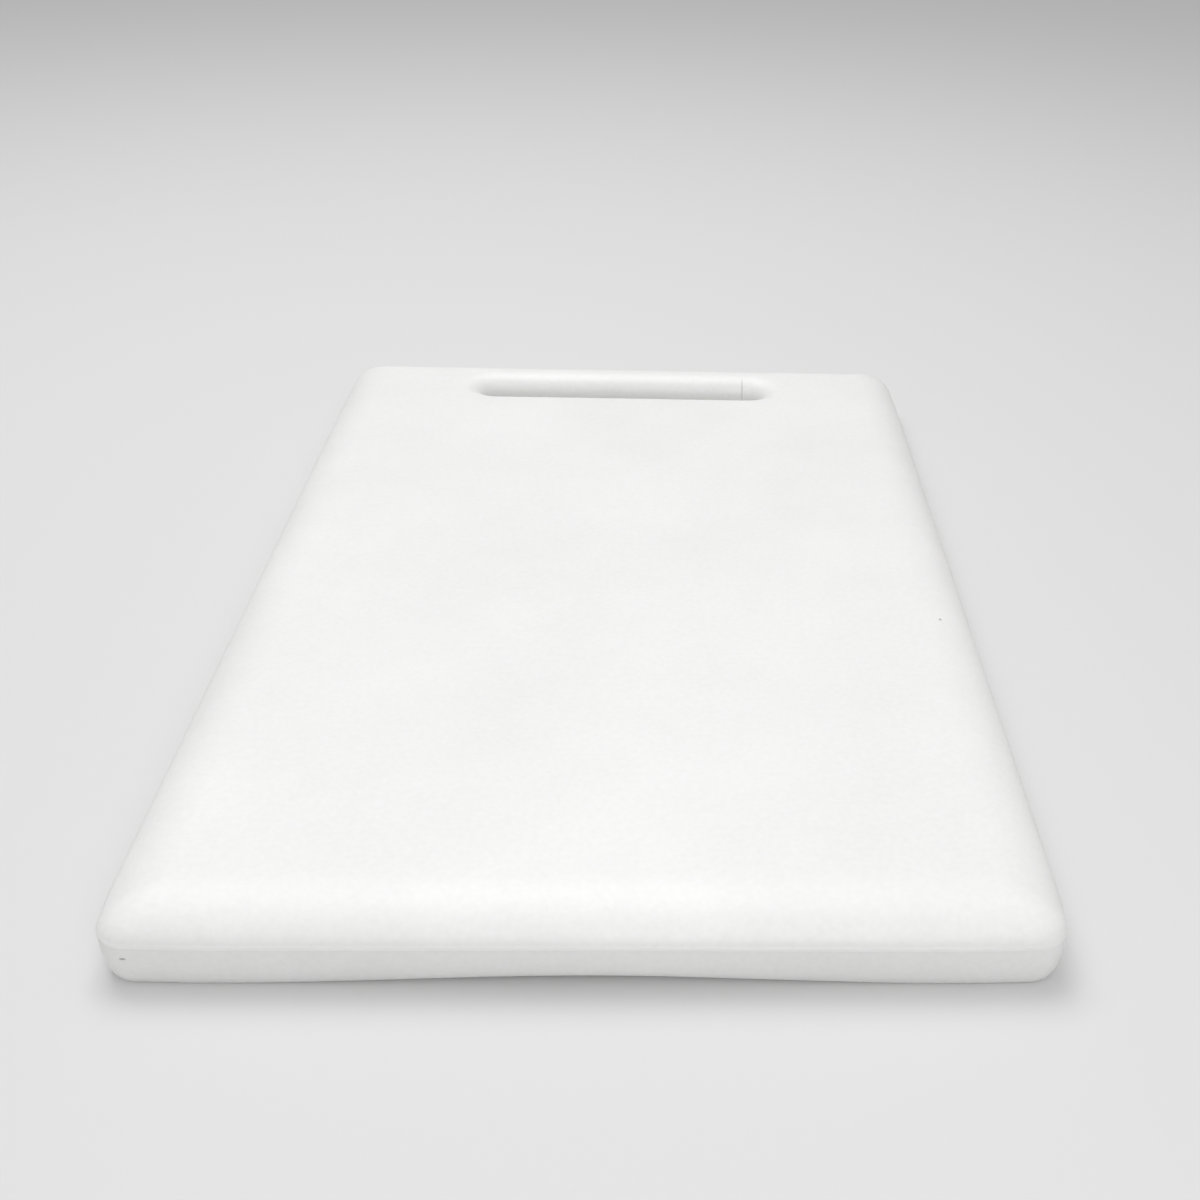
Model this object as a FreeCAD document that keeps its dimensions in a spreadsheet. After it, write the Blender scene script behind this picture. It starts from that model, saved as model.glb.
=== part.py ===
"""A white blow-moulded cutting board with a hand slot, drawn as a parametric FreeCAD document.

Millimetres. The origin is on the surface the board stands on, under the middle of the board.
+X runs across the width, +Y runs along the length towards the hand slot, and +Z is up.
"""
import FreeCAD, Part
import os
import re
import Sketcher

# Driving dimensions. Each one becomes a cell of the document's spreadsheet.
SIZES = {
    # the moulding's outside
    "board_width": 300,
    "board_length": 450,
    "board_thickness": 27,
    "corner_radius": 10,            # the plan outline's corners
    "upper_roll_radius": 9.5,
    "lower_roll_radius": 5,
    "wall": 4,
    # the scar of trimmed flash where the two mould halves met, just under the upper roll
    "flash_setback": 0.5,           # from the foot of the upper roll to the middle of the scar
    "flash_height": 0.15,           # how far the scar stands out
    "flash_width": 1.6,
    # the underside arches between two flat lands along the long sides
    "arch_rise": 3.4,
    "arch_margin": 38,              # from the board's side to the start of the arch
    # the hand slot and the bar behind it
    "slot_length": 152,
    "slot_width": 17,
    "bar_width": 25,
    "upper_lip_radius": 10,
    "lower_lip_radius": 7,
    # the plug in the blow-pin hole
    "plug_setback": 80,             # from the far short end
    "plug_shank_diameter": 8,
    "plug_shank_clearance": 0.05,   # all round the shank
    "plug_head_diameter": 14,
    "plug_head_thickness": 1,
    "plug_head_clearance": 0.5,     # all round the head, in its recess
    "plug_bead_height": 0.4,        # how far the snap bead stands out from the shank
    "plug_bead_length": 1.6,
    "plug_bead_clearance": 0.1,     # between the bead and the inside of the wall
    "plug_bore_diameter": 5,        # the plug is a hollow cup, open upwards
}

CELL_NAME = re.compile(r"\b(" + "|".join(SIZES) + r")\b")


def formula(text):
    """The same formula with every named size read from the spreadsheet."""
    return CELL_NAME.sub(r"Sizes.\1", text)


def value_of(item, text):
    """What a formula of the sheet's sizes comes to."""
    return float(item.evalExpression(formula(text)))


def make_spreadsheet(doc):
    """One row per driving dimension: its name beside its value."""
    sheet = doc.addObject("Spreadsheet::Sheet", "Sizes")
    for row, (name, value) in enumerate(SIZES.items(), start=1):
        sheet.set(f"A{row}", name)
        sheet.set(f"B{row}", str(value))
        sheet.setAlias(f"B{row}", name)
    doc.recompute()
    return sheet


# ---------------------------------------------------------------- sketches


def origin_plane(body, role):
    """The body's own origin plane: XY_Plane, XZ_Plane or YZ_Plane."""
    return next(item for item in body.Origin.OriginFeatures if item.Role == role)


def new_sketch(body, label, role, height="0"):
    """An empty sketch on one of the body's origin planes, lifted along that plane's normal."""
    sketch = body.newObject("Sketcher::SketchObject", label)
    sketch.AttachmentSupport = [(origin_plane(body, role), "")]
    sketch.MapMode = "FlatFace"
    sketch.setExpression("AttachmentOffset.Base.z", formula(height))
    return sketch


def bind(sketch, constraint, text):
    """Add a dimension to the sketch and drive it by a formula of the sheet's sizes."""
    index = sketch.addConstraint(constraint)
    sketch.setExpression(f"Constraints[{index}]", formula(text))


def hold_point(sketch, geometry, end, x_text, y_text):
    """Hold one end of a line or an arc at a place given by two formulas."""
    x_value = value_of(sketch, x_text)
    y_value = value_of(sketch, y_text)
    vertical_axis, horizontal_axis = -2, -1
    if x_text == "0":
        sketch.addConstraint(Sketcher.Constraint("PointOnObject", geometry, end, vertical_axis))
    else:
        bind(sketch, Sketcher.Constraint("DistanceX", -1, 1, geometry, end, x_value), x_text)
    if y_text == "0":
        sketch.addConstraint(Sketcher.Constraint("PointOnObject", geometry, end, horizontal_axis))
    else:
        bind(sketch, Sketcher.Constraint("DistanceY", -1, 1, geometry, end, y_value), y_text)


def add_arc(sketch, first, last, radius, turn):
    """An arc from first to last that turns left (+1) or right (-1); returns it and its ends."""
    chord = last - first
    middle = (first + last) / 2
    to_left = FreeCAD.Vector(-chord.y, chord.x, 0).normalize()
    depth = max(radius ** 2 - (chord.Length / 2) ** 2, 0) ** 0.5
    centre = middle + to_left * depth * turn
    start, end = (first, last) if turn > 0 else (last, first)
    x_axis = FreeCAD.Vector(1, 0, 0)
    angles = []
    for point in (start, end):
        ray = point - centre
        angle = x_axis.getAngle(ray)
        angles.append(angle if ray.y >= 0 else -angle)
    circle = Part.Circle(centre, FreeCAD.Vector(0, 0, 1), radius)
    index = sketch.addGeometry(Part.ArcOfCircle(circle, angles[0], angles[1]))
    return index, (1, 2) if turn > 0 else (2, 1)


def draw_outline(sketch, stations):
    """A closed outline through stations, each (x, y) or (x, y, radius, turn).

    A station's radius and turn describe the arc that leads on from it. Without them a straight
    line does. All sizes are formulas of the sheet's names.
    """
    points = []
    for station in stations:
        points.append(FreeCAD.Vector(value_of(sketch, station[0]), value_of(sketch, station[1]), 0))
    pieces = []
    for number, station in enumerate(stations):
        first = points[number]
        last = points[(number + 1) % len(points)]
        if len(station) == 2:
            index = sketch.addGeometry(Part.LineSegment(first, last))
            pieces.append((index, 1, 2))
        else:
            radius = value_of(sketch, station[2])
            index, (start, end) = add_arc(sketch, first, last, radius, station[3])
            pieces.append((index, start, end))
    for number, (index, start, _end) in enumerate(pieces):
        before, _start, before_end = pieces[number - 1]
        sketch.addConstraint(Sketcher.Constraint("Coincident", before, before_end, index, start))
    for (index, start, _end), station in zip(pieces, stations):
        hold_point(sketch, index, start, station[0], station[1])
        if len(station) == 4:
            radius = value_of(sketch, station[2])
            bind(sketch, Sketcher.Constraint("Radius", index, radius), station[2])


def draw_rounded_rectangle(sketch, half_width, half_length, radius):
    """A rectangle about the origin with four quarter-round corners."""
    left, right = f"-({half_width})", half_width
    near, far = f"-({half_length})", half_length
    draw_outline(sketch, [
        (f"{left} + {radius}", near),
        (f"{right} - {radius}", near, radius, 1),
        (right, f"{near} + {radius}"),
        (right, f"{far} - {radius}", radius, 1),
        (f"{right} - {radius}", far),
        (f"{left} + {radius}", far, radius, 1),
        (left, f"{far} - {radius}"),
        (left, f"{near} + {radius}", radius, 1),
    ])


def draw_slot(sketch, middle, half_length, half_width):
    """A slot with round ends, lying across the board, with its middle at the given Y."""
    inner = f"({half_length}) - ({half_width})"
    low, high = f"{middle} - ({half_width})", f"{middle} + ({half_width})"
    draw_outline(sketch, [
        (f"-({inner})", low),
        (inner, low, half_width, 1),
        (half_length, middle, half_width, 1),
        (inner, high),
        (f"-({inner})", high, half_width, 1),
        (f"-({half_length})", middle, half_width, 1),
    ])


# ---------------------------------------------------------------- features


def pad(body, label, sketch, length, symmetric=False):
    """Extrude a sketch."""
    feature = body.newObject("PartDesign::Pad", label)
    feature.Profile = sketch
    feature.SideType = "Symmetric" if symmetric else "One side"
    feature.setExpression("Length", formula(length))
    return finish_feature(body, feature)


def pocket_upwards(body, label, sketch, length):
    """Cut a sketch's outline out of the body, from the sketch's plane upwards."""
    feature = body.newObject("PartDesign::Pocket", label)
    feature.Profile = sketch
    feature.Reversed = True
    feature.setExpression("Length", formula(length))
    return finish_feature(body, feature)


def round_edges(body, label, edges, radius):
    """Round the named edges of the body's last feature."""
    last_feature = body.Tip
    feature = body.newObject("PartDesign::Fillet", label)
    feature.Base = (last_feature, edges)
    feature.setExpression("Radius", formula(radius))
    return finish_feature(body, feature)


def finish_feature(body, feature):
    """Make the feature the body's tip and work it out."""
    body.Tip = feature
    body.Document.recompute()
    return feature


def edges_where(shape, test):
    """Names of the edges for which the test of their bounding box is true."""
    named = enumerate(shape.Edges, start=1)
    return [f"Edge{number}" for number, edge in named if test(edge.BoundBox)]


# ---------------------------------------------------------------- the board


def draw_end_profile(sketch, inset):
    """The board's cross-section, inset by a wall: flat top, and an arch between two lands below.

    The arch is an S-curve each side: an arc that leaves the land level, then the crown's arc.
    """
    half_width = f"(board_width / 2 - {inset})"
    foot = "(board_width / 2 - arch_margin)"
    bottom = f"{inset}" if inset != "0" else "0"
    shoulder = f"({inset} + arch_rise / 2)"
    top = f"(board_thickness - {inset})"
    bend = f"(({foot}^2 + arch_rise^2) / (4 * arch_rise))"
    draw_outline(sketch, [
        (f"-{half_width}", bottom),
        (f"-{foot}", bottom, bend, 1),
        (f"-{foot} / 2", shoulder, bend, -1),
        (f"{foot} / 2", shoulder, bend, 1),
        (foot, bottom),
        (half_width, bottom),
        (half_width, top),
        (f"-{half_width}", top),
    ])


def make_pillow(doc, label, inset):
    """The board's solid form without its slot, inset all round by a wall.

    The upper roll is kept a little smaller than the outline's corners, so that it can turn there.
    """
    body = doc.addObject("PartDesign::Body", label)
    profile = new_sketch(body, f"{label}_end_profile", "XZ_Plane")
    draw_end_profile(profile, inset)
    pad(body, f"{label}_plate", profile, f"board_length - 2 * {inset}", symmetric=True)

    thickness = body.Shape.BoundBox.ZLength
    upright = edges_where(body.Shape, lambda box: box.ZLength > 0.9 * thickness)
    round_edges(body, f"{label}_corners", upright, f"corner_radius - {inset}")

    half_width = value_of(body, f"board_width / 2 - {inset}")
    half_length = value_of(body, f"board_length / 2 - {inset}")
    corner = value_of(body, f"corner_radius - {inset}")
    top = value_of(body, f"board_thickness - {inset}")

    def on_rim(box):
        """True for an edge that is on the plan outline rather than across a face."""
        middle = box.Center
        return abs(middle.x) > half_width - corner or abs(middle.y) > half_length - corner

    def upper(box):
        return box.ZMin > top - 0.01 and on_rim(box)

    def lower(box):
        return box.ZMax < top / 2 and on_rim(box)

    lower_roll = f"lower_roll_radius - {inset}"
    upper_roll = f"min(upper_roll_radius; 0.95 * corner_radius) - {inset}"
    round_edges(body, f"{label}_lower_roll", edges_where(body.Shape, lower), lower_roll)
    round_edges(body, f"{label}_upper_roll", edges_where(body.Shape, upper), upper_roll)
    return body


def cut_slot(body, label, inset):
    """Cut the hand slot through the body, widened all round by a wall, and round its lips."""
    middle = "(board_length / 2 - bar_width - slot_width / 2)"
    half_width = f"(slot_width / 2 + {inset})"
    half_length = f"(slot_length / 2 + {inset})"
    sketch = new_sketch(body, f"{label}_slot_outline", "XY_Plane")
    draw_slot(sketch, middle, half_length, half_width)
    pocket_upwards(body, f"{label}_slot", sketch, "board_thickness")

    slot_box = sketch.Shape.BoundBox
    top = value_of(body, f"board_thickness - {inset}")

    def around_slot(box):
        """True for an edge that lies on the slot's outline."""
        across = box.XMin > slot_box.XMin - 0.01 and box.XMax < slot_box.XMax + 0.01
        along = box.YMin > slot_box.YMin - 0.01 and box.YMax < slot_box.YMax + 0.01
        return across and along

    def upper(box):
        return box.ZMin > top - 0.01 and around_slot(box)

    def lower(box):
        return box.ZMax < top / 2 and around_slot(box)

    upper_edges = edges_where(body.Shape, upper)
    round_edges(body, f"{label}_upper_lip", upper_edges, f"upper_lip_radius - {inset}")
    lower_edges = edges_where(body.Shape, lower)
    round_edges(body, f"{label}_lower_lip", lower_edges, f"lower_lip_radius - {inset}")


def add_parting_flash(body):
    """The low scar of trimmed flash that runs round the rim where the mould halves met."""
    lower_edge = "board_thickness - upper_roll_radius - flash_setback - flash_width / 2"
    sketch = new_sketch(body, "flash_outline", "XY_Plane", lower_edge)
    draw_rounded_rectangle(
        sketch,
        "(board_width / 2 + flash_height)",
        "(board_length / 2 + flash_height)",
        "(corner_radius + flash_height)",
    )
    pad(body, "parting_flash", sketch, "flash_width")


def cut_blow_hole(body):
    """The blow-pin hole in the crown of the arch, with a flat recess for the plug's head."""
    middle = "(board_length / 2 - plug_setback)"
    for label, radius, depth in (
        ("plug_recess", "plug_head_diameter / 2 + plug_head_clearance",
         "arch_rise + plug_head_thickness"),
        ("blow_hole", "plug_shank_diameter / 2 + plug_shank_clearance",
         "arch_rise + 1.2 * wall"),
    ):
        sketch = new_sketch(body, f"{label}_outline", "XY_Plane")
        radius_value = value_of(sketch, radius)
        centre = FreeCAD.Vector(0, value_of(sketch, middle), 0)
        sketch.addGeometry(Part.Circle(centre, FreeCAD.Vector(0, 0, 1), radius_value))
        bind(sketch, Sketcher.Constraint("Radius", 0, radius_value), radius)
        hold_point(sketch, 0, 3, "0", middle)
        pocket_upwards(body, label, sketch, depth)


def make_board_shell(doc):
    """The hollow moulding: its outside less its inside."""
    outside = make_pillow(doc, "outside", "0")
    add_parting_flash(outside)
    cut_slot(outside, "outside", "0")
    cut_blow_hole(outside)
    inside = make_pillow(doc, "inside", "wall")
    cut_slot(inside, "inside", "wall")
    shell = doc.addObject("Part::Cut", "board_shell")
    shell.Base = outside
    shell.Tool = inside
    return shell


def make_blow_hole_plug(doc):
    """A hollow snap-in plug: a flat head, a shank through the wall and a bead behind it."""
    body = doc.addObject("PartDesign::Body", "blow_hole_plug")
    shank = "plug_shank_diameter / 2"
    bead = f"{shank} + plug_bead_height"
    bore = "plug_bore_diameter / 2"
    head_top = "plug_head_thickness"
    bead_start = "wall + plug_bead_clearance"
    tip = f"{bead_start} + plug_bead_length"
    sketch = new_sketch(body, "plug_profile", "XZ_Plane")
    draw_outline(sketch, [
        ("0", "0"),
        ("plug_head_diameter / 2", "0"),
        ("plug_head_diameter / 2", head_top),
        (shank, head_top),
        (shank, bead_start),
        (bead, f"{bead_start} + plug_bead_height"),
        (shank, tip),
        (bore, tip),
        (bore, f"2 * {head_top}"),
        ("0", f"2 * {head_top}"),
    ])
    turned = body.newObject("PartDesign::Revolution", "turned_plug")
    turned.Profile = sketch
    turned.ReferenceAxis = (sketch, ["V_Axis"])
    turned.Angle = 360
    finish_feature(body, turned)
    body.setExpression("Placement.Base.y", formula("board_length / 2 - plug_setback"))
    body.setExpression("Placement.Base.z", formula("arch_rise"))
    return body


# ---------------------------------------------------------------- writing the pieces


def check(item):
    """Stop if an object failed to work out or has no sound solid."""
    if {"Invalid", "Error"} & set(item.State):
        raise RuntimeError(f"{item.Label} did not work out: {item.State}")


def write_pieces(doc, pieces):
    """Check everything in the document, then write each piece under its own label."""
    doc.recompute()
    for item in doc.Objects:
        check(item)
    os.makedirs("parts", exist_ok=True)
    for piece in pieces:
        shape = piece.Shape
        if shape.isNull() or not shape.isValid() or len(shape.Solids) != 1:
            raise RuntimeError(f"{piece.Label} is not one sound solid")
        shape.exportStep(f"parts/{piece.Label}.step")


def main():
    """Build the document and write its pieces."""
    doc = FreeCAD.newDocument("cutting_board")
    make_spreadsheet(doc)
    write_pieces(doc, [make_board_shell(doc), make_blow_hole_plug(doc)])


main()
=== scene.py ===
"""A white blow-moulded cutting board with a hand slot, on a pale floor in soft studio light."""
from math import asin, copysign, cos, radians, sin

import bmesh
import bpy
from mathutils import Matrix, Vector


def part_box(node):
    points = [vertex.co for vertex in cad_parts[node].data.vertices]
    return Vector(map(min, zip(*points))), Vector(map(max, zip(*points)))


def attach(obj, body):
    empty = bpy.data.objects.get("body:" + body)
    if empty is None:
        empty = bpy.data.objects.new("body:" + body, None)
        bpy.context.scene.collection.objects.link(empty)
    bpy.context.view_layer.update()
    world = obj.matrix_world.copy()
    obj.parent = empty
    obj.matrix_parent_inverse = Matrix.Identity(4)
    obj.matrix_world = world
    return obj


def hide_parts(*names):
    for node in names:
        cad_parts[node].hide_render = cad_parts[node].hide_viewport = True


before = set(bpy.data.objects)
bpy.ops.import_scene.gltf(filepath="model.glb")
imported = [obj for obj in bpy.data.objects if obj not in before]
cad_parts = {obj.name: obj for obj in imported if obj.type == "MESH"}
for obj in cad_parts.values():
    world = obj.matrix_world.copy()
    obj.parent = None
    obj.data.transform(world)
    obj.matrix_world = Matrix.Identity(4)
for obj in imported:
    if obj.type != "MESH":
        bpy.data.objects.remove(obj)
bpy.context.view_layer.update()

MM = 0.001
HAIR = 0.001 * MM               # places closer than this count as one
LEVEL = 0.01 * MM               # how close to a level an edge must be to lie on it
WELD = 0.02 * MM                # corners closer than this are joined

# The moulding. Its outside size comes from the solid; these shape what the solid leaves plain.
FLASH_PROUD = 0.15 * MM         # how far the solid's flash scar stands out of the rim
FLASH_WIDTH = 1.6 * MM
FLASH_SETBACK = 0.5 * MM        # from the foot of the upper roll to the middle of the scar
FLASH_SLOPE = 0.4 * MM          # the width of the slopes that lead up to the scar
FLASH_SHARE = 0.8               # the share of the solid's scar that the surface stands out by
CORNER_RADIUS = 10 * MM
UPPER_ROLL = 9.5 * MM
LOWER_ROLL = 5 * MM
ARCH_RISE = 3.4 * MM
ARCH_MARGIN = 38 * MM

# The hand slot and the bar behind it.
SLOT_LENGTH = 152 * MM
SLOT_WIDTH = 17 * MM
BAR_WIDTH = 25 * MM
UPPER_LIP = 10 * MM
LOWER_LIP = 7 * MM
SLOT_END_ROUNDING = 0.499       # a hair under half the width, so that the ends stay rounded

# The seat of the plug in the underside.
PLUG_HEAD_THICKNESS = 1 * MM
PLUG_HEAD_CLEARANCE = 0.5 * MM
PLUG_POCKET_RADIUS = 4.6 * MM   # clears the snap bead on the plug's shank
PLUG_POCKET_HEADROOM = 0.2 * MM

# How the cutting face sinks and falls away, as a moulded face does when it cools.
ROLL_REACH = 22 * MM            # how far the upper roll reaches in over the face
BAR_ROLL_REACH = 13 * MM        # the same on the bar, where the slot leaves less room
ROLL_SLANT = radians(11)        # what the upper roll's ellipse leaves out at its foot
LOWER_CURVE_HEIGHT = 13 * MM    # the lower wall curves in all the way from here down
LOWER_CURVE_REACH = 3.2 * MM
DISH_DEPTH = 0.9 * MM
SINK_ACROSS = 1.25              # how steeply the dish falls in from the long sides
SINK_ALONG = 1.6                # and from the short ones
CORNER_DRAW = 0.06              # the share by which the corners draw in
WAVE_DEPTH = 0.16 * MM          # the moulding's slight waviness

# The polyethylene's tone runs from these shares up to its full tint.
CLOUD_TONE = 0.96
MOTTLE_TONE = 0.965
CLOUD_SIZE = 55 * MM
MOTTLE_SIZE = 2.2 * MM
SATIN_SIZE = 9 * MM             # the patches of more and less gloss
RIPPLE_SIZE = 7 * MM
GRAIN_SIZE = 0.7 * MM

FACE_STEP = 10 * MM             # the spacing of the cuts that let the faces bend
WALL_STEP = 2.5 * MM            # and of those that let the wall under the scar curve
RIM_ANGLE = radians(60)         # the edges to be rolled are sharper than this
SHARP_ANGLE = radians(40)       # an edge sharper than this, as the plug's seat has, stays sharp
# The second finish is the scar's, whose lighter tint is a painted highlight.
BOARD_FINISH, SCAR_FINISH_WITH_HIGHLIGHT = 0, 1

shell_low, shell_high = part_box("board_shell")
plug_low, plug_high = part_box("blow_hole_plug")
WIDTH = shell_high.x - shell_low.x - 2 * FLASH_PROUD
LENGTH = shell_high.y - shell_low.y - 2 * FLASH_PROUD
THICKNESS = shell_high.z - shell_low.z
SLOT_MIDDLE = LENGTH / 2 - BAR_WIDTH - SLOT_WIDTH / 2
ROLL_FOOT = THICKNESS - UPPER_ROLL
PARTING_HEIGHT = ROLL_FOOT - FLASH_SETBACK


# ---------------------------------------------------------------- shaping the moulding


def smooth_step(t):
    """0 to 1 with level ends."""
    t = min(max(t, 0.0), 1.0)
    return t * t * (3 - 2 * t)


def arch_height(x):
    """The underside's S-curved arch across the width."""
    foot = WIDTH / 2 - ARCH_MARGIN
    return ARCH_RISE * smooth_step(1 - abs(x) / foot)


def face_sink(x, y):
    """How far the cutting face lies under its highest level at a place."""
    across = smooth_step(SINK_ACROSS * (1 - abs(x) / (WIDTH / 2)))
    along = smooth_step(SINK_ALONG * (1 - abs(y) / (LENGTH / 2)))
    cross_wave = sin(x / (17 * MM) + 1.3 * sin(y / (41 * MM)))
    long_wave = sin(y / (29 * MM) + x / (67 * MM))
    return DISH_DEPTH * across * along + WAVE_DEPTH * (2 + (cross_wave + long_wave)) / 4


def drawn_in(x, y, inner_x, inner_y, keep):
    """A rim place drawn in towards an inner one by the share that isn't kept."""
    new_x = inner_x + (abs(x) - inner_x) * keep if abs(x) > inner_x else abs(x)
    new_y = inner_y + (abs(y) - inner_y) * keep if abs(y) > inner_y else abs(y)
    return copysign(new_x, x), copysign(new_y, y)


def rim_place(x, y, moved):
    """Where a point of a roll stood on the board's outline before the roll moved it inwards."""
    side, end = WIDTH / 2 - CORNER_RADIUS, LENGTH / 2 - CORNER_RADIUS
    out = Vector((max(abs(x) - side, 0), max(abs(y) - end, 0)))
    if out.length < 1e-9:
        return None
    out *= CORNER_RADIUS / (CORNER_RADIUS - moved)
    rim_x = abs(x) if out.x == 0 else side + out.x
    rim_y = abs(y) if out.y == 0 else end + out.y
    return copysign(rim_x, x), copysign(rim_y, y)


def widen_rolls(bm):
    """Stretch the upper roll in over the face and the lower one up the wall, as quarter ellipses.

    The upper roll leaves the parting line at a slant. Its corners draw in towards a place that
    lies one reach in from both sides, so they come out as soft as a pillow's.
    """
    for vert in bm.verts:
        x, y, z = vert.co
        if on_slot(x, y):
            continue
        if z > ROLL_FOOT + HAIR:
            lift = min((z - ROLL_FOOT) / UPPER_ROLL, 1)
            rim = rim_place(x, y, UPPER_ROLL * (1 - cos(asin(lift))))
            angle = asin(lift + (1 - lift) * sin(ROLL_SLANT))
            keep = cos(angle) / cos(ROLL_SLANT)
            inner_y = LENGTH / 2 - (BAR_ROLL_REACH if y > 0 else ROLL_REACH)
        elif z < LOWER_CURVE_HEIGHT:
            drop = max(1 - z / LOWER_ROLL, 0)
            rim = rim_place(x, y, LOWER_ROLL * (1 - cos(asin(drop))))
            turned = asin(1 - z / LOWER_CURVE_HEIGHT)
            keep = 1 - LOWER_CURVE_REACH / ROLL_REACH * (1 - cos(turned))
            inner_y = LENGTH / 2 - ROLL_REACH
        else:
            continue
        if rim is not None:
            vert.co.xy = drawn_in(*rim, WIDTH / 2 - ROLL_REACH, inner_y, keep)
    bmesh.ops.remove_doubles(bm, verts=bm.verts, dist=WELD)


def draw_corners(bm):
    """Round the corners a little more than the rolls leave them."""
    inner_x, inner_y = WIDTH / 2 - ROLL_REACH, LENGTH / 2 - ROLL_REACH
    for vert in bm.verts:
        x, y, _z = vert.co
        across = (abs(x) - inner_x) / ROLL_REACH
        along = (abs(y) - inner_y) / ROLL_REACH
        if across > 0 and along > 0:
            keep = 1 - CORNER_DRAW * across * along
            vert.co.xy = drawn_in(x, y, inner_x, inner_y, keep)


def settle(bm):
    """Sink the upper face and raise the underside, squeezing the rolls above and below."""
    for vert in bm.verts:
        x, y, z = vert.co
        if z > PARTING_HEIGHT:
            share = (z - PARTING_HEIGHT) / (THICKNESS - PARTING_HEIGHT)
            vert.co.z = z - share * face_sink(x, y)
        else:
            share = 1 - z / PARTING_HEIGHT
            vert.co.z = z + share * arch_height(x)


def upright_edges(bm):
    """The block's edges that run straight up."""
    found = []
    for edge in bm.edges:
        run = edge.verts[1].co - edge.verts[0].co
        if abs(run.z) > 0.5 * THICKNESS:
            found.append(edge)
    return found


def block(bm, width, length, middle, height, corner, segments):
    """An upright block with rounded corners."""
    place = Matrix.Translation(middle) @ Matrix.Diagonal((width, length, height, 1))
    bmesh.ops.create_cube(bm, size=1, matrix=place)
    bmesh.ops.bevel(bm, geom=upright_edges(bm), offset=corner, segments=segments,
                    affect="EDGES", profile=0.5, material=-1)


def new_object(name, bm):
    """A mesh object made of a bmesh, which is then freed."""
    mesh = bpy.data.meshes.new(name)
    bm.to_mesh(mesh)
    bm.free()
    thing = bpy.data.objects.new(name, mesh)
    bpy.context.scene.collection.objects.link(thing)
    return thing


def cut_out(thing, tool, solver="EXACT"):
    """Cut one object out of another, keep the result as a bmesh and remove both objects."""
    cut = thing.modifiers.new("cut", "BOOLEAN")
    cut.operation = "DIFFERENCE"
    cut.solver = solver
    cut.object = tool
    bpy.context.view_layer.update()
    evaluated = thing.evaluated_get(bpy.context.evaluated_depsgraph_get())
    mesh = bpy.data.meshes.new_from_object(evaluated)
    bm = bmesh.new()
    bm.from_mesh(mesh)
    bpy.data.meshes.remove(mesh)
    for used in (thing, tool):
        data = used.data
        bpy.data.objects.remove(used)
        bpy.data.meshes.remove(data)
    return bm


def on_slot(x, y):
    """True for a place on the slot or on one of its rounded lips."""
    reach = UPPER_LIP + 0.1 * MM
    return (abs(x) < SLOT_LENGTH / 2 + reach
            and abs(y - SLOT_MIDDLE) < SLOT_WIDTH / 2 + reach)


def rim_edges(bm, height, around_slot):
    """The sharp edges at one level, either round the slot or round the board's outline."""
    found = []
    for edge in bm.edges:
        level = all(abs(vert.co.z - height) < LEVEL for vert in edge.verts)
        if not level or len(edge.link_faces) != 2:
            continue
        if edge.calc_face_angle() < RIM_ANGLE:
            continue
        middle = (edge.verts[0].co + edge.verts[1].co) / 2
        near_slot = (abs(middle.x) < SLOT_LENGTH / 2 + MM
                     and abs(middle.y - SLOT_MIDDLE) < SLOT_WIDTH / 2 + MM)
        if near_slot == around_slot:
            found.append(edge)
    return found


def roll(bm, height, around_slot, radius, segments):
    """Round the edges at one level."""
    bmesh.ops.bevel(bm, geom=rim_edges(bm, height, around_slot), offset=radius,
                    segments=segments, affect="EDGES", profile=0.5, material=-1)


def slice_across(bm, places, normal):
    """Cut the mesh at planes with the given normal, so that it can bend there."""
    for place in places:
        geometry = list(bm.verts) + list(bm.edges) + list(bm.faces)
        bmesh.ops.bisect_plane(bm, geom=geometry, plane_co=Vector(normal) * place,
                               plane_no=normal, dist=HAIR)


def on_flash(face):
    """True for an upright face on the scar round the rim's widest line."""
    middle = face.calc_center_median()
    outside = (abs(middle.x) > WIDTH / 2 - CORNER_RADIUS
               or abs(middle.y) > LENGTH / 2 - CORNER_RADIUS)
    at_height = abs(middle.z - PARTING_HEIGHT) < 0.5 * FLASH_WIDTH
    return outside and at_height and abs(face.normal.z) < 0.5


def raise_flash(bm):
    """Lift the low scar of trimmed flash out of the rim's widest line."""
    half = FLASH_WIDTH / 2
    slice_across(bm, (PARTING_HEIGHT - half, PARTING_HEIGHT + half), (0, 0, 1))
    band = [face for face in bm.faces if on_flash(face)]
    bmesh.ops.inset_region(bm, faces=band, thickness=FLASH_SLOPE,
                           depth=FLASH_SHARE * FLASH_PROUD, use_even_offset=True,
                           use_boundary=True)


def cut_plug_seat(bm):
    """Sink the recess for the plug's head and the pocket for its shank into the underside."""
    middle = (plug_low + plug_high) / 2
    head_radius = (plug_high.x - plug_low.x) / 2 + PLUG_HEAD_CLEARANCE
    head_top = plug_low.z + PLUG_HEAD_THICKNESS
    pocket_top = plug_high.z + PLUG_POCKET_HEADROOM
    for radius, top in ((head_radius, head_top), (PLUG_POCKET_RADIUS, pocket_top)):
        drill = bmesh.new()
        bmesh.ops.create_cone(drill, cap_ends=True, segments=48, radius1=radius, radius2=radius,
                              depth=THICKNESS,
                              matrix=Matrix.Translation((middle.x, middle.y, top - THICKNESS / 2)))
        bm = cut_out(new_object("moulding", bm), new_object("drill", drill), "MANIFOLD")
    return bm


def steps_to(reach):
    """Evenly spaced places on both sides of the middle, as far out as the reach."""
    count = int(reach / FACE_STEP)
    return [n * FACE_STEP for n in range(-count, count + 1)]


def columns():
    """Where the face is cut lengthways, clear of the rim's roll and the slot's rounded ends."""
    side = WIDTH / 2 - ROLL_REACH
    straight = SLOT_LENGTH / 2 - SLOT_WIDTH / 2
    clear = SLOT_LENGTH / 2 + UPPER_LIP
    return [x for x in steps_to(side) if not straight <= abs(x) <= clear]


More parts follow.
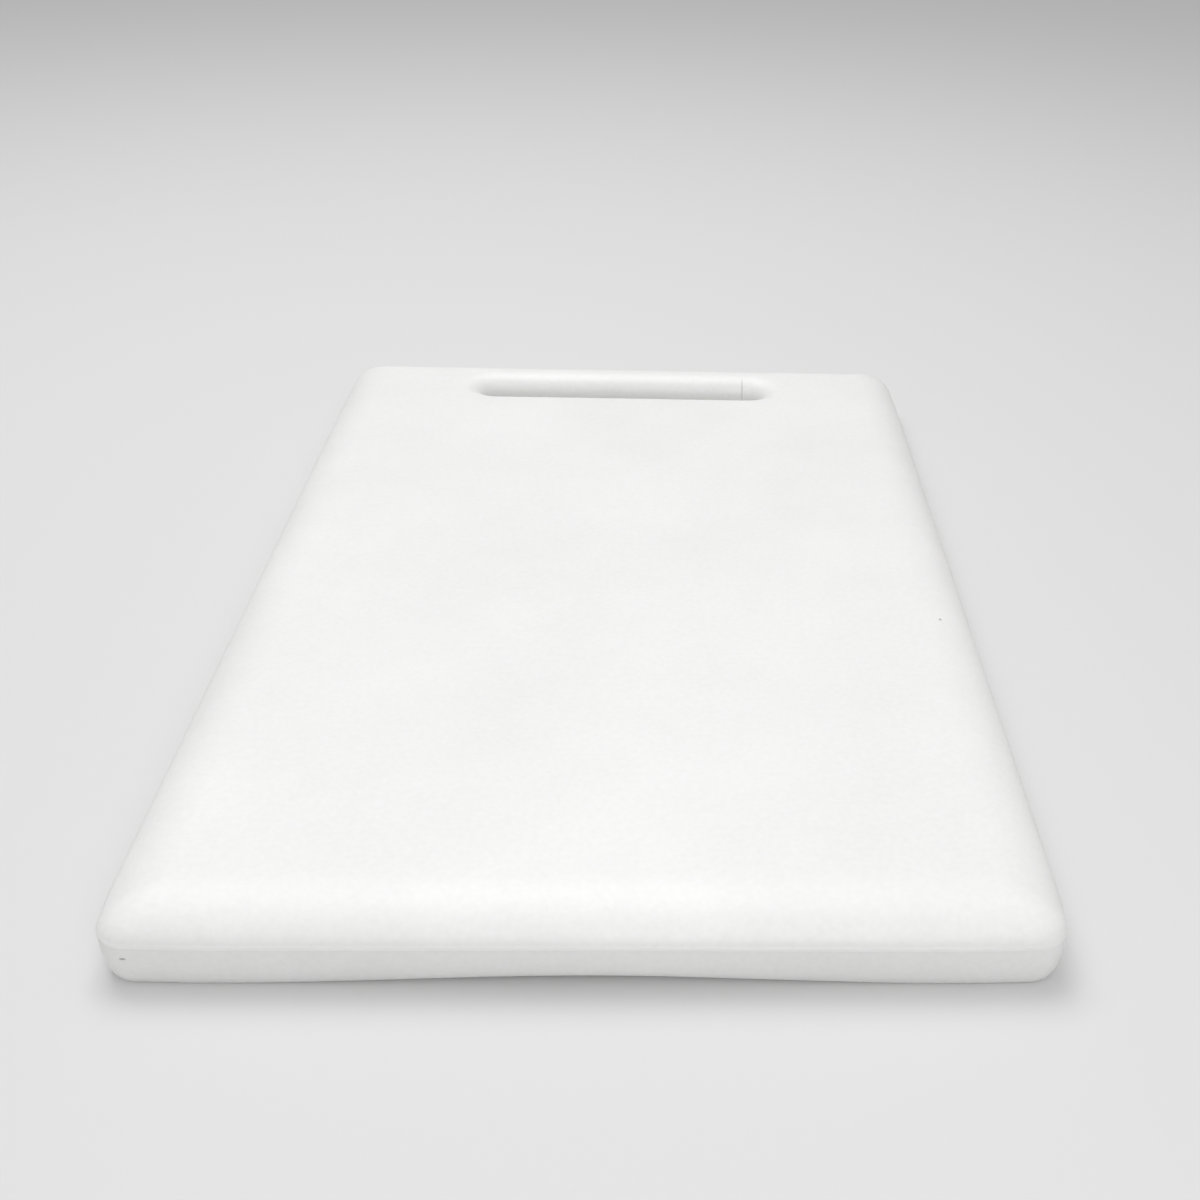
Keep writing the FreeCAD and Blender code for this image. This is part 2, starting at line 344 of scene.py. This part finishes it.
def rows():
    """Where the face is cut crossways, clear of the rim's roll and of the slot."""
    end = LENGTH / 2 - ROLL_REACH
    slot_side = SLOT_MIDDLE - SLOT_WIDTH / 2 - UPPER_LIP
    return [y for y in steps_to(end) if y < slot_side]


def make_board():
    """The board's moulding with its rolled rim, slot, arch and sunken cutting face."""
    plate = bmesh.new()
    block(plate, WIDTH, LENGTH, (0, 0, THICKNESS / 2), THICKNESS, CORNER_RADIUS, 16)
    tunnel = bmesh.new()
    block(tunnel, SLOT_LENGTH, SLOT_WIDTH, (0, SLOT_MIDDLE, THICKNESS / 2), 2 * THICKNESS,
          SLOT_END_ROUNDING * SLOT_WIDTH, 12)
    bm = cut_out(new_object("plate", plate), new_object("tunnel", tunnel))
    roll(bm, 0, False, LOWER_ROLL, 8)
    roll(bm, THICKNESS, False, UPPER_ROLL, 18)
    roll(bm, 0, True, LOWER_LIP, 10)
    roll(bm, THICKNESS, True, UPPER_LIP, 12)
    slice_across(bm, [n * WALL_STEP for n in range(3, 7)], (0, 0, 1))
    widen_rolls(bm)
    slice_across(bm, columns(), (1, 0, 0))
    slice_across(bm, rows(), (0, 1, 0))
    raise_flash(bm)
    draw_corners(bm)
    settle(bm)
    bm = cut_plug_seat(bm)
    for face in bm.faces:
        face.smooth = True
        face.material_index = SCAR_FINISH_WITH_HIGHLIGHT if on_flash(face) else BOARD_FINISH
    for edge in bm.edges:
        edge.smooth = edge.calc_face_angle(0) < SHARP_ANGLE
    return new_object("board", bm)


board = make_board()
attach(board, "root")
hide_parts("board_shell")


# ---------------------------------------------------------------- finishes


def new_material(name):
    """A material with its shader, and a function that adds and wires nodes in it."""
    material = bpy.data.materials.new(name)
    material.use_nodes = True
    tree = material.node_tree
    shader = tree.nodes["Principled BSDF"]

    def add(kind, inputs=None, **settings):
        node = tree.nodes.new(kind)
        for key, value in settings.items():
            setattr(node, key, value)
        for key, value in (inputs or {}).items():
            if isinstance(value, bpy.types.NodeSocket):
                tree.links.new(value, node.inputs[key])
            else:
                node.inputs[key].default_value = value
        return node

    return material, shader, add


def noise(add, place, size, detail=2.0):
    """Soft noise whose features are about the given size across."""
    node = add("ShaderNodeTexNoise", {"Vector": place, "Scale": 1 / size, "Detail": detail})
    return node.outputs["Fac"]


def between(add, factor, low, high):
    """A number that runs from low to high as the noise behind it runs over its usual range."""
    node = add("ShaderNodeMapRange", {"Value": factor, "From Min": 0.3, "From Max": 0.7,
                                      "To Min": low, "To Max": high})
    return node.outputs[0]


def times(add, first, second):
    """The product of two numbers."""
    return add("ShaderNodeMath", {0: first, 1: second}, operation="MULTIPLY").outputs[0]


def mark(add, place, middle, reach, strength):
    """1 away from a small mark, and less by its strength on it; its middle and reach are in mm."""
    away = add("ShaderNodeVectorMath", {0: place, 1: Vector(middle) * MM}, operation="SUBTRACT")
    scaled = add("ShaderNodeVectorMath", {0: away.outputs[0], 1: Vector(reach) * MM},
                 operation="DIVIDE")
    length = add("ShaderNodeVectorMath", {0: scaled.outputs[0]}, operation="LENGTH")
    fade = add("ShaderNodeMapRange", {"Value": length.outputs["Value"], "From Min": 0.4,
                                      "From Max": 1.0, "To Min": 1 - strength, "To Max": 1.0},
               interpolation_type="SMOOTHSTEP")
    return fade.outputs[0]


def polyethylene(name, tint, roughness, marks=()):
    """White moulded polyethylene: cloudy in tone, finely mottled, with an uneven satin grain."""
    material, shader, add = new_material(name)
    place = add("ShaderNodeTexCoord").outputs["Object"]
    tone = between(add, noise(add, place, CLOUD_SIZE, 3.0), CLOUD_TONE, 1.0)
    tone = times(add, tone, between(add, noise(add, place, MOTTLE_SIZE, 4.0), MOTTLE_TONE, 1.0))
    for middle, reach, strength in marks:
        tone = times(add, tone, mark(add, place, middle, reach, strength))
    colour = add("ShaderNodeVectorMath", {0: tint}, operation="SCALE")
    links = material.node_tree.links
    links.new(tone, colour.inputs["Scale"])
    links.new(colour.outputs[0], shader.inputs["Base Color"])
    satin = between(add, noise(add, place, SATIN_SIZE, 5.0), roughness - 0.05, roughness + 0.06)
    links.new(satin, shader.inputs["Roughness"])
    shader.inputs["Subsurface Weight"].default_value = 0.5
    shader.inputs["Subsurface Radius"].default_value = (1.0, 0.95, 0.85)
    shader.inputs["Subsurface Scale"].default_value = 5 * MM
    shader.inputs["Specular IOR Level"].default_value = 0.45
    ripple = add("ShaderNodeBump", {"Height": noise(add, place, RIPPLE_SIZE), "Strength": 0.5,
                                    "Distance": 0.05 * MM})
    grain = add("ShaderNodeBump", {"Height": noise(add, place, GRAIN_SIZE, 3.0), "Strength": 0.45,
                                   "Distance": 0.05 * MM, "Normal": ripple.outputs["Normal"]})
    links.new(grain.outputs["Normal"], shader.inputs["Normal"])
    return material


def trimmed_scar_with_painted_highlight(name, tint):
    """The scraped surface the moulding's flash leaves when it is trimmed away, in a tint lighter
    than the board's that paints a highlight along the scar.
    """
    material, shader, add = new_material(name)
    place = add("ShaderNodeTexCoord").outputs["Object"]
    drawn = add("ShaderNodeMapping", {"Vector": place, "Scale": (1, 1, 12)}).outputs[0]
    # The tint passed in is lighter than the board's, a painted highlight along the scar; the
    # streaks in its tone are the scrape's own.
    tone = between(add, noise(add, drawn, 6 * MM, 4.0), 0.97, 1.03)
    colour = add("ShaderNodeVectorMath", {0: tint}, operation="SCALE")
    material.node_tree.links.new(tone, colour.inputs["Scale"])
    material.node_tree.links.new(colour.outputs[0], shader.inputs["Base Color"])
    shader.inputs["Roughness"].default_value = 0.6
    shader.inputs["Subsurface Weight"].default_value = 0.3
    shader.inputs["Subsurface Radius"].default_value = (1.0, 0.95, 0.85)
    shader.inputs["Subsurface Scale"].default_value = 2 * MM
    scrape = add("ShaderNodeBump", {"Height": noise(add, drawn, 2.5 * MM, 4.0), "Strength": 0.6,
                                    "Distance": 0.08 * MM})
    material.node_tree.links.new(scrape.outputs["Normal"], shader.inputs["Normal"])
    return material


# Small marks on the board, each with its middle and its reach in mm, and its strength.
SLOT_SEAM = ((65.5, 203, 21), (0.6, 9, 9), 0.25)            # on the slot's far wall
NEAR_SCRATCH = ((-139.5, -224.5, 12), (1.4, 1.5, 0.6), 0.5)   # low on the near left corner
FACE_SPECK = ((135.5, -47, 26.3), (0.8, 1.0, 1), 0.5)       # near the right side

board.data.materials.append(polyethylene("board polyethylene", (0.872, 0.873, 0.864), 0.42,
                                         (SLOT_SEAM, NEAR_SCRATCH, FACE_SPECK)))
# The scar's lighter tint is a painted highlight along the rim's widest line.
board.data.materials.append(trimmed_scar_with_painted_highlight("trimmed flash", (0.92, 0.92, 0.91)))
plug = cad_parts["blow_hole_plug"]
plug.data.materials.clear()
plug.data.materials.append(polyethylene("plug polyethylene", (0.82, 0.82, 0.80), 0.35))


# ---------------------------------------------------------------- floor, light and camera

ROOM_AT_HORIZON = 0.11
ROOM_OVERHEAD = 0.66
OVERHEAD_WATTS = 9.9
OVERHEAD_PLACE = (-0.2, 0.4, 1.35)
OVERHEAD_SIZE = 1.0
FRONT_WATTS = 3.65
FRONT_PLACE = (0.16, -1.0, 0.75)
FRONT_SIZE = 0.6
FLOOR_TONE = 0.71
FLOOR_DROP = 0.1 * MM           # keeps the floor from cutting into the underside's flat lands

CAMERA_LENS = 43.63
CAMERA_SIDE_SHIFT = -0.0958
CAMERA_YAW = -2.577             # degrees
CAMERA_TILT = 59.186
CAMERA_ROLL = 1.943
CAMERA_PLACE = (20.7, -549.3, 334.2)    # mm


def make_floor():
    """A plain pale floor."""
    bm = bmesh.new()
    bmesh.ops.create_grid(bm, x_segments=1, y_segments=1, size=6,
                          matrix=Matrix.Translation((0, 0, -FLOOR_DROP)))
    floor = new_object("floor", bm)
    material, shader, _add = new_material("floor")
    shader.inputs["Base Color"].default_value = (FLOOR_TONE, FLOOR_TONE, FLOOR_TONE, 1)
    shader.inputs["Roughness"].default_value = 0.9
    floor.data.materials.append(material)


def soft_box(name, place, size, watts):
    """A square soft box that faces the middle of the board."""
    light = bpy.data.lights.new(name, "AREA")
    light.shape = "SQUARE"
    light.size = size
    light.energy = watts
    lamp = bpy.data.objects.new(name, light)
    lamp.location = place
    lamp.rotation_euler = (-Vector(place)).to_track_quat("-Z", "Y").to_euler()
    bpy.context.scene.collection.objects.link(lamp)


def make_room():
    """A pale room, brighter overhead than at the horizon."""
    world = bpy.data.worlds.new("room")
    world.use_nodes = True
    tree = world.node_tree
    background = tree.nodes["Background"]
    direction = tree.nodes.new("ShaderNodeTexCoord")
    split = tree.nodes.new("ShaderNodeSeparateXYZ")
    tree.links.new(direction.outputs["Generated"], split.inputs[0])
    height = tree.nodes.new("ShaderNodeMapRange")
    height.interpolation_type = "SMOOTHSTEP"
    height.inputs["From Min"].default_value = -0.1
    height.inputs["From Max"].default_value = 0.9
    height.inputs["To Min"].default_value = ROOM_AT_HORIZON
    height.inputs["To Max"].default_value = ROOM_OVERHEAD
    tree.links.new(split.outputs["Z"], height.inputs["Value"])
    tree.links.new(height.outputs[0], background.inputs["Strength"])
    background.inputs["Color"].default_value = (1, 1, 1, 1)
    bpy.context.scene.world = world


def make_light():
    """The room's own light, a large soft box overhead and a weak one in front."""
    make_room()
    soft_box("overhead", OVERHEAD_PLACE, OVERHEAD_SIZE, OVERHEAD_WATTS)
    soft_box("front", FRONT_PLACE, FRONT_SIZE, FRONT_WATTS)
    bpy.context.scene.view_settings.view_transform = "Standard"


def make_camera():
    """The camera looks down the board's length from beyond its near end."""
    camera = bpy.data.cameras.new("camera")
    camera.sensor_width = 36
    camera.lens = CAMERA_LENS
    camera.shift_x = CAMERA_SIDE_SHIFT
    eye = bpy.data.objects.new("camera", camera)
    turn = Matrix.Identity(4)
    for degrees, axis in ((CAMERA_YAW, "Z"), (CAMERA_TILT, "X"), (CAMERA_ROLL, "Z")):
        turn = turn @ Matrix.Rotation(radians(degrees), 4, axis)
    eye.matrix_world = Matrix.Translation(Vector(CAMERA_PLACE) * MM) @ turn
    camera.clip_start = 0.01
    camera.clip_end = 20
    bpy.context.scene.collection.objects.link(eye)
    bpy.context.scene.camera = eye


make_floor()
make_light()
make_camera()
